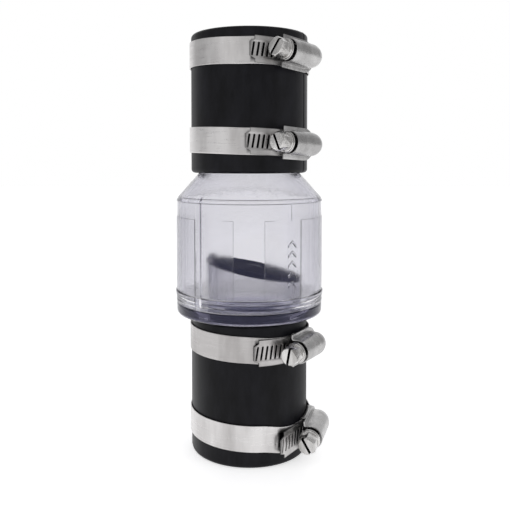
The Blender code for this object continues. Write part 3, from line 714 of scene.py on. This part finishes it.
def lower_housing():
    """Cap with its lip, floor and inlet spigot, the slanted seat tube and the two hinge lugs."""
    corners = [
        (LIP_R, LIP_TOP_Z, 0.3 * MM),
        (LIP_R, LIP_BOTTOM_Z, 0.2 * MM),
        (CAP_R - 0.45 * MM, LIP_BOTTOM_Z - 0.1 * MM, 0.1 * MM),
        (CAP_R, LIP_BOTTOM_Z - 0.8 * MM, 0.2 * MM),
        (CAP_R, LIP_BOTTOM_Z - 1.9 * MM, 0.0),
        (CAP_R - 0.3 * MM, LIP_BOTTOM_Z - 2.2 * MM, 0.0),
        (CAP_R, LIP_BOTTOM_Z - 2.5 * MM, 0.0),
        (CAP_R, CAP_STEP_Z + 0.3 * MM, 0.15 * MM),
        (CAP_R - 0.6 * MM, CAP_STEP_Z, 0.1 * MM),
        (CAP_R - 0.15 * MM, CAP_STEP_Z - 0.6 * MM, 0.2 * MM),
        (CAP_R - 0.15 * MM, FLANGE_BOTTOM_Z, 2.2 * MM),
        (PIPE_OUTER_R, FLANGE_BOTTOM_Z, 0.6 * MM),
        (PIPE_OUTER_R, LOWER_LOW_Z + PIPE_CHAMFER, 0.2 * MM),
        (PIPE_OUTER_R - PIPE_CHAMFER, LOWER_LOW_Z, 0.2 * MM),
        (BORE_R, LOWER_LOW_Z, 0.4 * MM),
        (BORE_R, FLOOR_TOP_Z, 0.5 * MM),
        (CAP_SOCKET_R, FLOOR_TOP_Z, 0.8 * MM),
        (CAP_SOCKET_R, LIP_TOP_Z, 0.3 * MM),
    ]
    outline = rounded(list(reversed(corners)))
    rows = [CAP_STEP_Z + CAP_ROW_STEP * i for i in range(1, 12)]
    degrees = columns(HOUSING_STEP_DEG, BEAD, EDGE_SPREAD_DEG, (BEAD,))
    mesh = lathe("clear_lower_housing", with_rows(outline, rows), degrees, lower_relief)
    ob = add_object("clear_lower_housing", mesh)

    seat = Matrix.Translation((SEAT_X, 0.0, SEAT_Z)) @ Matrix.Rotation(SEAT_SLOPE, 4, "Y")
    centred = Matrix.Translation((SEAT_X, 0.0, 0.0))
    low = FLOOR_TOP_Z - SEAT_SINK
    high = SEAT_Z + SEAT_SPARE
    tube = add_object("tube", cylinder("tube", SEAT_OUTER_R, low, high, centred, SEAT_SEGMENTS))
    far = SEAT_CUT_HALF
    combine(tube, [(box("above", (-far, -far, 0.0), (far, far, far), seat), "DIFFERENCE")])
    steps = [(tube.data.copy(), "UNION")]
    bpy.data.objects.remove(tube, do_unlink=True)
    upright = Matrix.Translation(HINGE)
    for side in (-1.0, 1.0):
        low, high = sorted((side * LUG_INNER_Y, side * LUG_OUTER_Y))
        steps.append((box("lug", (-KNUCKLE_R, low, -LUG_DEPTH), (KNUCKLE_R, high, 0.0), upright), "UNION"))
        lying = upright @ Matrix.Rotation(math.radians(90.0), 4, "X")
        steps.append((cylinder("lug", KNUCKLE_R, -high, -low, lying, LUG_SEGMENTS), "UNION"))
    low = FLOOR_TOP_Z - SEAT_BORE_SINK
    high = SEAT_Z + SEAT_BORE_SPARE
    steps.append((cylinder("bore", SEAT_INNER_R, low, high, centred, SEAT_SEGMENTS), "DIFFERENCE"))
    combine(ob, steps)
    attribute = ob.data.attributes.get("haze") or ob.data.attributes.new("haze", "FLOAT", "POINT")
    seat_low_z = LIP_TOP_Z + 1.0 * MM
    hazes = [HAZE_SEAT if vert.co.z > seat_low_z else HAZE_CAP for vert in ob.data.vertices]
    attribute.data.foreach_set("value", hazes)
    return piece("clear_lower_housing", ob, CAP_PVC, "valve_body", "clear_pvc", "lower_housing")


# ---------------------------------------------------------------- couplings
def coupling(name, node, seam):
    """Rubber sleeve with rounded ends and a thin mould line down each side."""
    low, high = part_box(node)
    corners = [
        (COUPLING_R, high.z, COUPLING_ROUNDING),
        (COUPLING_BORE_R, high.z, COUPLING_BORE_ROUNDING),
        (COUPLING_BORE_R, low.z, COUPLING_BORE_ROUNDING),
        (COUPLING_R, low.z, COUPLING_ROUNDING),
    ]
    outline = rounded(corners, COUPLING_ARC_STEP_DEG)
    seams = (seam, seam - 180.0)

    def relief(degrees, radius, _):
        if radius <= COUPLING_R - COUPLING_SKIN:
            return radius
        across = min(abs(degrees - line) for line in seams)
        if across < SEAM_HALF_DEG:
            return radius + SEAM_RAISE
        return radius - SEAM_SINK if across < SEAM_GROOVE_DEG else radius

    edges = []
    for line in seams:
        for half in (SEAM_GROOVE_DEG, SEAM_HALF_DEG):
            edges += [line - half, line + half]
    mesh = lathe(name, outline, columns(COUPLING_STEP_DEG, edges, SEAM_SPREAD_DEG), relief)
    return piece(name, mesh, COUPLING_RUBBER, "valve_body", "coupling_rubber", node)


# ---------------------------------------------------------------- flapper
def flapper():
    """Moulded flap: a disc with a rounded rim, cut straight at its hinge, with a neck and a knuckle."""
    bottom = -HINGE_HEIGHT
    top = bottom + DISC_THICKNESS
    bm = bmesh.new()
    cut = math.acos((HINGE_DISTANCE - DISC_CHORD) / DISC_R)
    outline = []
    for i in range(DISC_SEGMENTS + 1):
        angle = -math.pi + cut + (2.0 * math.pi - 2.0 * cut) * i / DISC_SEGMENTS
        outline.append((HINGE_DISTANCE + DISC_R * math.cos(angle), DISC_R * math.sin(angle)))
    lower = [bm.verts.new((x, y, bottom)) for x, y in outline]
    upper = [bm.verts.new((x, y, top)) for x, y in outline]
    bm.faces.new(list(reversed(lower)))
    bm.faces.new(upper)
    for i in range(len(outline)):
        j = (i + 1) % len(outline)
        bm.faces.new((lower[i], lower[j], upper[j], upper[i]))
    rim = [edge for edge in bm.edges if len(edge.link_faces) == 2 and edge.calc_face_angle() > 1.0]
    bmesh.ops.bevel(bm, geom=rim, offset=DISC_ROUNDING, segments=3, profile=0.5, affect="EDGES")
    disc = mesh_from(bm, "disc")
    half = KNUCKLE_HALF_WIDTH
    neck = box("neck", (0.0, -half, bottom), (DISC_CHORD + NECK_OVERLAP, half, top))
    lying = Matrix.Rotation(math.radians(90.0), 4, "X")
    knuckle = cylinder("knuckle", KNUCKLE_R, -half, half, lying, KNUCKLE_SEGMENTS)
    mesh = joined("flapper_rubber_disc", (disc, neck, knuckle))
    mesh.transform(Matrix.Translation(HINGE) @ Matrix.Rotation(SEAT_SLOPE, 4, "Y"))
    ob = add_object("flapper_rubber_disc", mesh)
    return piece(ob.name, ob, FLAPPER_RUBBER, "flapper", "flapper_rubber", "flapper_disc")


# ---------------------------------------------------------------- hose clamps
def bulge(offset_deg):
    """How far the band is pushed out by the saddle, 0 to 1."""
    return smooth_step((SADDLE_HALF_DEG + BULGE_DEG - abs(offset_deg)) / BULGE_DEG)


def band_point(clamp, turned_deg):
    """Azimuth, inner radius and rise of the band, turned_deg along it from its fixed end."""
    degrees = clamp["housing"] + FIXED_END_DEG - turned_deg
    wrapped = (degrees - clamp["housing"] + 180.0) % 360.0 - 180.0
    radius = BAND_R + (BAND_SADDLE_R - BAND_R) * bulge(wrapped)
    radius += LAYER * smooth_step((turned_deg - LAYER_START_DEG) / LAYER_RISE_DEG)
    lift = clamp["lift"]
    azimuth = degrees + 360.0
    is_end = turned_deg > NEAR_END_DEG
    if lift is not None and is_end and azimuth < lift:
        radius = max(radius, (BAND_R + LAYER) / math.cos(math.radians(lift - azimuth)))
    fade = smooth_step((TWIST_FADE_DEG - abs(wrapped)) / (TWIST_FADE_DEG - TWIST_HOLD_DEG))
    if is_end and azimuth < clamp["housing"]:
        fade = 1.0
    rise = math.tan(math.radians(clamp["twist"])) * BAND_R * math.radians(wrapped) * fade
    return degrees, radius, rise


def darkening_on(clamp, degrees, distance, height):
    """Darkening of the band: painted shade, full on the band under its own tail and strong along the tail's
    edges and at its tip; elsewhere on the tail an even darkening given per clamp.
    """
    if distance < TAIL_LENGTH:
        # painted shade along the tail's edges and at its tip, over the tail's even darkening
        along_edge = smooth_step((abs(height) - BAND_WIDTH / 2.0 + 0.4 * MM) / (0.3 * MM))
        at_tip = smooth_step((0.5 * MM - distance) / (0.4 * MM))
        return max(EDGE_SHADE * along_edge, EDGE_SHADE * at_tip, clamp["darkening"])
    # painted shade on the band under its own tail, so that the slots show black
    from_tip = math.radians(degrees - clamp["tip"]) * BAND_R
    if not 0.0 < from_tip < TAIL_LENGTH:
        return 0.0
    reach = smooth_step((from_tip - 0.3 * MM) / (0.6 * MM))
    inside = smooth_step((BAND_WIDTH / 2.0 - 1.2 * MM - abs(height)) / (1.0 * MM))
    return reach * inside


def band_mesh(name, clamp):
    """One strip that goes once round and overlaps itself, with round-ended leaning slots in its tail."""
    sweep = clamp["housing"] + FIXED_END_DEG + 360.0 - clamp["tip"]
    tail_r = BAND_R + LAYER
    half_slot = SLOT_LENGTH / 2.0
    half_width = BAND_WIDTH / 2.0
    # height of each row, and how much of the slot's width is open there
    upper = ((half_slot - 0.45 * MM, 1.0), (half_slot - 0.12 * MM, 0.75), (half_slot, 0.3))
    upper += ((half_slot + 1.2 * MM, 0.0), (half_width - 0.45 * MM, 0.0), (half_width, 0.0))
    rows = [(-height, width) for height, width in reversed(upper)] + [(0.0, 1.0)] + list(upper)

    stations = [0.0]
    for i in range(SLOT_COUNT):
        start = SLOT_START + i * SLOT_PITCH
        stations += [start, start + SLOT_WIDTH]
    slotted = len(stations)
    end = math.radians(sweep) * tail_r
    plain = end - stations[-1]
    count = round(math.degrees(plain / tail_r) / BAND_STEP_DEG)
    stations += [stations[-1] + plain * (i + 1) / count for i in range(count)]

    lean = math.tan(math.radians(clamp["lean"]))
    bm = bmesh.new()
    # painted shade under the tail, along its edges and at its tip, with the tail's even darkening, read by
    # the steel material
    shade = bm.verts.layers.float.new("darkening")
    columns_made = []
    for index, distance in enumerate(stations):
        column = []
        for height, width in rows:
            back = distance
            if abs(height) > half_slot:
                back = min(max(distance, TIP_SETBACK + index * TIP_EDGE_STEP), end)
            elif 0 < index < slotted:
                towards_middle = 1.0 if index % 2 == 1 else -1.0
                back += towards_middle * (1.0 - width) * SLOT_WIDTH / 2.0 - SLOT_LEAN * height
            degrees, radius, rise = band_point(clamp, sweep - math.degrees(back / tail_r))
            x, y, z = ring_point(radius, degrees, clamp["z"] + height + rise)
            vert = bm.verts.new((x, y, z - lean * x))
            vert[shade] = darkening_on(clamp, degrees, distance, height)
            column.append(vert)
        columns_made.append(column)
    for index in range(len(columns_made) - 1):
        is_slot = index % 2 == 1 and index < slotted
        for row in range(len(rows) - 1):
            if is_slot and rows[row][1] > 0.0 and rows[row + 1][1] > 0.0:
                continue
            a, b = columns_made[index], columns_made[index + 1]
            bm.faces.new((a[row], b[row], b[row + 1], a[row + 1]))
    mesh = bpy.data.meshes.new(name)
    bm.to_mesh(mesh)
    bm.free()
    return mesh


def thick(name, mesh, thickness, offset, bevel):
    """A sheet given its thickness, with its edges rounded off."""
    ob = add_object(name, mesh)
    solid = ob.modifiers.new("Thickness", "SOLIDIFY")
    solid.thickness = thickness
    solid.offset = offset
    solid.use_even_offset = True
    edge = ob.modifiers.new("Edge", "BEVEL")
    edge.width = bevel
    edge.segments = 2
    edge.limit_method = "ANGLE"
    edge.angle_limit = math.radians(SHEET_BEVEL_DEG)
    apply_modifiers(ob)
    ob.data.shade_smooth()
    ob.data.set_sharp_from_angle(angle=math.radians(SHEET_SHARP_DEG))
    return ob


def clamp_frame(number):
    """Frame of a clamp's housing, +X away from the head, +Y up and +Z out; and the screw's distance."""
    place, axis = joint(f"clamp_{number}_screw_turn")
    tangent = -axis
    outward = Vector((place.x, place.y, 0.0))
    distance = outward.length
    outward.normalize()
    matrix = Matrix((tangent, outward.cross(tangent), outward)).transposed().to_4x4()
    return Matrix.Translation((0.0, 0.0, place.z)) @ matrix, distance


def saddle_mesh(matrix):
    """Curved plate under the band with a flange up each side."""
    flange_y = BAND_WIDTH / 2.0 + GAP
    half = math.radians(SADDLE_HALF_DEG)
    radius = BAND_R + SADDLE_THICKNESS
    outward = matrix.col[2].to_3d()
    tangent = matrix.col[0].to_3d()
    along = tangent / math.hypot(tangent.x, tangent.y)
    inset, lift = SADDLE_ROUNDING
    bm = bmesh.new()
    rows = []
    for i in range(SADDLE_STEPS + 1):
        angle = half * (2.0 * i / SADDLE_STEPS - 1.0)
        x = radius * math.sin(angle)
        base = radius * math.cos(angle)
        outline = ((-flange_y, SADDLE_RAIL_Z), (-flange_y, base + lift), (-flange_y + inset, base))
        outline += ((flange_y - inset, base), (flange_y, base + lift), (flange_y, SADDLE_RAIL_Z))
        row = []
        for y, z in outline:
            row.append(bm.verts.new(matrix.translation + along * x + Vector((0.0, 0.0, y)) + outward * z))
        rows.append(row)
    for a, b in zip(rows, rows[1:]):
        for k in range(len(a) - 1):
            bm.faces.new((a[k], b[k], b[k + 1], a[k + 1]))
    mesh = bpy.data.meshes.new("saddle")
    bm.to_mesh(mesh)
    bm.free()
    return mesh


def cover_mesh(screw_r):
    """Arched cover with a foot along each side and a rounded far end."""
    foot = COVER_FOOT_HALF_WIDTH
    section = [(-foot, COVER_FOOT_Z), (-COVER_R - COVER_ROLL, COVER_FOOT_Z)]
    section.append((-COVER_R, COVER_FOOT_Z + COVER_ROLL))
    for i in range(COVER_ARCH_POINTS + 1):
        angle = math.pi - math.pi * i / COVER_ARCH_POINTS
        section.append((COVER_R * math.cos(angle), screw_r + COVER_R * math.sin(angle)))
    section.append((COVER_R, COVER_FOOT_Z + COVER_ROLL))
    section += [(COVER_R + COVER_ROLL, COVER_FOOT_Z), (foot, COVER_FOOT_Z)]
    rounding = COVER_END_X - COVER_STRAIGHT_X
    stations = [(COVER_FRONT_X, 1.0), (COVER_FRONT_X + 0.5 * MM, 1.0)]
    straight = COVER_STRAIGHT_X - COVER_FRONT_X
    stations += [(COVER_FRONT_X + straight * i / 6.0, 1.0) for i in range(1, 7)]
    for i in range(1, COVER_END_STEPS + 1):
        fraction = COVER_END_REACH * math.sin(math.radians(90.0 * i / COVER_END_STEPS))
        stations.append((COVER_STRAIGHT_X + rounding * fraction, math.sqrt(1.0 - fraction**2)))
    bm = bmesh.new()
    rows = []
    for x, shrink in stations:
        row = []
        for y, z in section:
            width = y * (COVER_END_WIDTH + (1.0 - COVER_END_WIDTH) * shrink)
            height = (z - COVER_FOOT_Z) * (COVER_END_HEIGHT + (1.0 - COVER_END_HEIGHT) * shrink)
            row.append(bm.verts.new((x, width, COVER_FOOT_Z + height)))
        rows.append(row)
    for a, b in zip(rows, rows[1:]):
        for k in range(len(section) - 1):
            bm.faces.new((a[k], a[k + 1], b[k + 1], b[k]))
    mesh = bpy.data.meshes.new("cover")
    bm.to_mesh(mesh)
    bm.free()
    return mesh


def stitch(bm, rings):
    """Skin through a row of rings, with a flat face at each end."""
    for a, b in zip(rings, rings[1:]):
        for i in range(len(a)):
            j = (i + 1) % len(a)
            bm.faces.new((a[i], a[j], b[j], b[i]))
    bm.faces.new(rings[0])
    bm.faces.new(rings[-1])


def turned_along_x(name, points, segments=56):
    """Outline of (x, radius) points turned round X, with a flat face at each end."""
    bm = bmesh.new()
    rings = []
    for x, radius in points:
        ring = []
        for i in range(segments):
            angle = 2.0 * math.pi * i / segments
            ring.append(bm.verts.new((x, radius * math.cos(angle), radius * math.sin(angle))))
        rings.append(ring)
    stitch(bm, rings)
    return mesh_from(bm, name)


def worm_mesh():
    """Helical thread with the slots' pitch."""
    start, end = COLLAR_X[0], WORM_END_X
    bm = bmesh.new()
    rings = []
    for k in range(WORM_STEPS + 1):
        x = start + (end - start) * k / WORM_STEPS
        ring = []
        for i in range(WORM_SEGMENTS):
            turn = i / WORM_SEGMENTS
            phase = (x / SLOT_PITCH - turn) % 1.0
            crest = smooth_step((0.5 - abs(phase - 0.5)) * 4.0 - 0.35)
            radius = WORM_ROOT_R + (WORM_R - WORM_ROOT_R) * crest
            angle = 2.0 * math.pi * turn
            ring.append(bm.verts.new((x, radius * math.cos(angle), radius * math.sin(angle))))
        rings.append(ring)
    stitch(bm, rings)
    return mesh_from(bm, "worm")


def head_mesh():
    """Hexagon head with chamfered corners and a screwdriver slot."""
    lying = Matrix.Rotation(math.radians(90.0), 4, "Y")
    hex_r = HEX_FLATS / math.sqrt(3.0)
    ob = add_object("head", cylinder("head", hex_r, HEAD_FACE_X, COLLAR_X[0] + HEAD_SINK, lying, 6))
    outline = [(HEAD_FACE_X + depth, hex_r * share) for depth, share in HEAD_CHAMFER]
    outline.append((COLLAR_X[0] + 1.0 * MM, outline[-1][1]))
    chamfer = turned_along_x("chamfer", outline)
    half = DRIVE_SLOT_WIDTH / 2.0
    low = (HEAD_FACE_X - 1.0 * MM, -half, -DRIVE_SLOT_REACH)
    high = (HEAD_FACE_X + DRIVE_SLOT_DEPTH, half, DRIVE_SLOT_REACH)
    slot = box("slot", low, high)
    combine(ob, [(chamfer, "INTERSECT"), (slot, "DIFFERENCE")])
    edge = ob.modifiers.new("Edge", "BEVEL")
    edge.width = HEAD_EDGE
    edge.segments = 2
    edge.limit_method = "ANGLE"
    edge.angle_limit = math.radians(HEAD_BEVEL_DEG)
    apply_modifiers(ob)
    mesh = ob.data
    bpy.data.objects.remove(ob, do_unlink=True)
    return mesh


def screw_mesh():
    """Whole screw: thread, collar, flange and head, with painted shade in the drive slot and on the back of
    the collar and the thread, which run into the cover.
    """
    low, high = COLLAR_X
    rim = COLLAR_RIM
    outline = [(low - 1.1 * MM, 3.6 * MM), (low - 1.1 * MM, FLANGE_R - rim), (low - 0.9 * MM, FLANGE_R)]
    outline += [(low - 0.5 * MM, FLANGE_R), (low - 0.35 * MM, NECK_R), (low, NECK_R)]
    outline += [(low, COLLAR_R - rim), (low + rim, COLLAR_R), (high - rim, COLLAR_R), (high, COLLAR_R - rim)]
    outline += [(high, SHANK_R)]
    collar = turned_along_x("collar", outline)
    mesh = joined("screw", (worm_mesh(), collar, head_mesh()))
    # painted shade: the drive slot, and the collar's back and the thread towards and under the cover, are
    # darkened
    darkening = mesh.attributes.new("darkening", "FLOAT", "FACE")
    for face, item in zip(mesh.polygons, darkening.data):
        corners = [mesh.vertices[index].co for index in face.vertices]
        in_slot = all(abs(co.y) < DRIVE_SLOT_WIDTH / 2.0 + 0.2 * MM for co in corners)
        on_head = HEAD_FACE_X + 0.3 * MM < face.center.x < HEAD_FACE_X + 2.0 * MM
        item.value = 1.0 if (in_slot and on_head) or face.center.x > low + 0.3 * MM else 0.0
    return mesh


def clamps():
    """Band, saddle, cover and screw of each clamp."""
    screw = screw_mesh()
    for number, clamp in enumerate(CLAMPS, start=1):
        prefix = f"clamp_{number}"
        matrix, screw_r = clamp_frame(number)
        band = thick(f"{prefix}_steel_band", band_mesh("band", clamp), BAND_THICKNESS, 1.0, BAND_EDGE)
        band_steel = DARKER_BAND_STEEL if number == DARKER_CLAMP else BAND_STEEL
        piece(band.name, band, band_steel, "valve_body", "stainless", f"{prefix}_band")
        saddle = thick(f"{prefix}_steel_saddle", saddle_mesh(matrix), SADDLE_THICKNESS, -1.0, SADDLE_EDGE)
        piece(saddle.name, saddle, HOUSING_STEEL, "valve_body", "stainless", f"{prefix}_saddle")
        cover = thick(f"{prefix}_steel_housing", cover_mesh(screw_r), COVER_THICKNESS, 0.0, COVER_EDGE)
        cover.data.transform(matrix)
        piece(cover.name, cover, HOUSING_STEEL, "valve_body", "stainless", f"{prefix}_housing")
        turned = add_object(f"{prefix}_steel_screw", screw.copy())
        slot_turn = Matrix.Rotation(math.radians(clamp["slot"]), 4, "X")
        turned.data.transform(matrix @ Matrix.Translation((0.0, 0.0, screw_r)) @ slot_turn)
        piece(turned.name, turned, SCREW_STEEL, f"{prefix}_screw", "stainless", f"{prefix}_screw")


def dress_cad_nodes():
    """Small CAD pieces whose shape is right keep it and get a finished material."""
    for node, material in (
        ("flapper_plate", DARK_STEEL),
        ("flapper_rivet", DARK_STEEL),
        ("hinge_pin", SCREW_STEEL),
    ):
        mesh = frame["nodes"][node].data
        mesh.materials.clear()
        mesh.materials.append(material)


# ---------------------------------------------------------------- studio
FLOOR_HALF = 3.0
FLOOR_GLOW = 0.58
PAPER = ((0.92, 0.92, 0.93), (0.95, 0.95, 0.955))
FRONT_LEVEL = 0.52
SIDE_LEVELS = ((0.22, 0.48), (0.40, 0.60), (0.52, 0.36), (0.72, 0.45), (0.90, 0.95))
BACK_LEVEL = 1.0
ROOM_STRENGTH = 1.04
KEY_LIGHT = {"place": (-0.55, -0.65, 0.55), "width": 0.60, "height": 0.7, "power": 0.5}
FILL_LIGHT = {"place": (0.70, -0.35, 0.30), "width": 0.30, "height": 0.8, "power": 0.35}
CAMERA_PLACE = (0.0, -0.3365, 0.1435)
CAMERA_TILT_DEG = 2.41
LENS = 47.96
SENSOR = 36.0
CLIP_START = 0.01
FRAME_SHIFT = (0.0112, -0.1335)


def floor():
    """White floor that glows a little, so that it stays white round the soft shadow."""
    bm = bmesh.new()
    bmesh.ops.create_grid(bm, x_segments=1, y_segments=1, size=FLOOR_HALF)
    ob = add_object("studio_floor", mesh_from(bm, "studio_floor"))
    shader = Shader("floor_white", (0.93, 0.93, 0.94), 0.75)
    paper = shader.noise(40.0, detail=2.0)
    shader.link(shader.tint(paper, *PAPER), shader.bsdf.inputs["Base Color"])
    shader.bsdf.inputs["Emission Color"].default_value = (1.0, 1.0, 1.0, 1.0)
    shader.bsdf.inputs["Emission Strength"].default_value = FLOOR_GLOW
    ob.data.materials.append(shader.material)


def world():
    """Pale room: the object sees grey in front, darker sides and a white back, against a white backdrop."""
    scene_world = bpy.data.worlds.new("studio")
    bpy.context.scene.world = scene_world
    scene_world.use_nodes = True
    tree = scene_world.node_tree
    background = tree.nodes["Background"]
    white = tree.nodes.new("ShaderNodeBackground")
    white.inputs["Color"].default_value = (1.0, 1.0, 1.0, 1.0)
    white.inputs["Strength"].default_value = 1.0
    coordinates = tree.nodes.new("ShaderNodeTexCoord")
    split = tree.nodes.new("ShaderNodeSeparateXYZ")
    tree.links.new(coordinates.outputs["Generated"], split.inputs["Vector"])
    ramp = tree.nodes.new("ShaderNodeValToRGB")
    elements = ramp.color_ramp.elements
    elements[0].position = 0.0
    elements[0].color = (FRONT_LEVEL, FRONT_LEVEL, FRONT_LEVEL, 1.0)
    elements[1].position = 1.0
    elements[1].color = (BACK_LEVEL, BACK_LEVEL, BACK_LEVEL, 1.0)
    for position, level in SIDE_LEVELS:
        element = elements.new(position)
        element.color = (level, level, level * 1.01, 1.0)
    shift = tree.nodes.new("ShaderNodeMapRange")
    shift.inputs["From Min"].default_value = -1.0
    shift.inputs["From Max"].default_value = 1.0
    tree.links.new(split.outputs["Y"], shift.inputs["Value"])
    tree.links.new(shift.outputs["Result"], ramp.inputs["Fac"])
    tree.links.new(ramp.outputs["Color"], background.inputs["Color"])
    background.inputs["Strength"].default_value = ROOM_STRENGTH
    path = tree.nodes.new("ShaderNodeLightPath")
    mix = tree.nodes.new("ShaderNodeMixShader")
    tree.links.new(path.outputs["Is Camera Ray"], mix.inputs["Fac"])
    tree.links.new(background.outputs["Background"], mix.inputs[1])
    tree.links.new(white.outputs["Background"], mix.inputs[2])
    tree.links.new(mix.outputs["Shader"], tree.nodes["World Output"].inputs["Surface"])


def area_light(name, place, width, height, power):
    """Soft box that faces the middle of the valve."""
    light = bpy.data.lights.new(name, "AREA")
    light.shape = "RECTANGLE"
    light.size = width
    light.size_y = height
    light.energy = power
    ob = bpy.data.objects.new(name, light)
    bpy.context.scene.collection.objects.link(ob)
    ob.location = place
    middle = Vector((0.0, 0.0, CAD_BOX[1][2] / 2.0))
    ob.rotation_euler = (middle - Vector(place)).to_track_quat("-Z", "Y").to_euler()


def camera():
    """Front view from a little above the middle, with the frame shifted to take in the whole valve."""
    data = bpy.data.cameras.new("camera")
    data.sensor_width = SENSOR
    data.lens = LENS
    data.shift_x, data.shift_y = FRAME_SHIFT
    data.clip_start = CLIP_START
    ob = bpy.data.objects.new("camera", data)
    bpy.context.scene.collection.objects.link(ob)
    ob.location = CAMERA_PLACE
    ob.rotation_euler = (math.radians(90.0 - CAMERA_TILT_DEG), 0.0, 0.0)
    bpy.context.scene.camera = ob


upper_housing()
lower_housing()
coupling("rubber_outlet_coupling", "outlet_coupling", OUTLET_SEAM_DEG)
coupling("rubber_inlet_coupling", "inlet_coupling", INLET_SEAM_DEG)
flapper()
clamps()
dress_cad_nodes()

floor()
world()
area_light("key", **KEY_LIGHT)
area_light("fill", **FILL_LIGHT)
camera()

view = bpy.context.scene.view_settings
view.view_transform = "Standard"
view.look = "None"
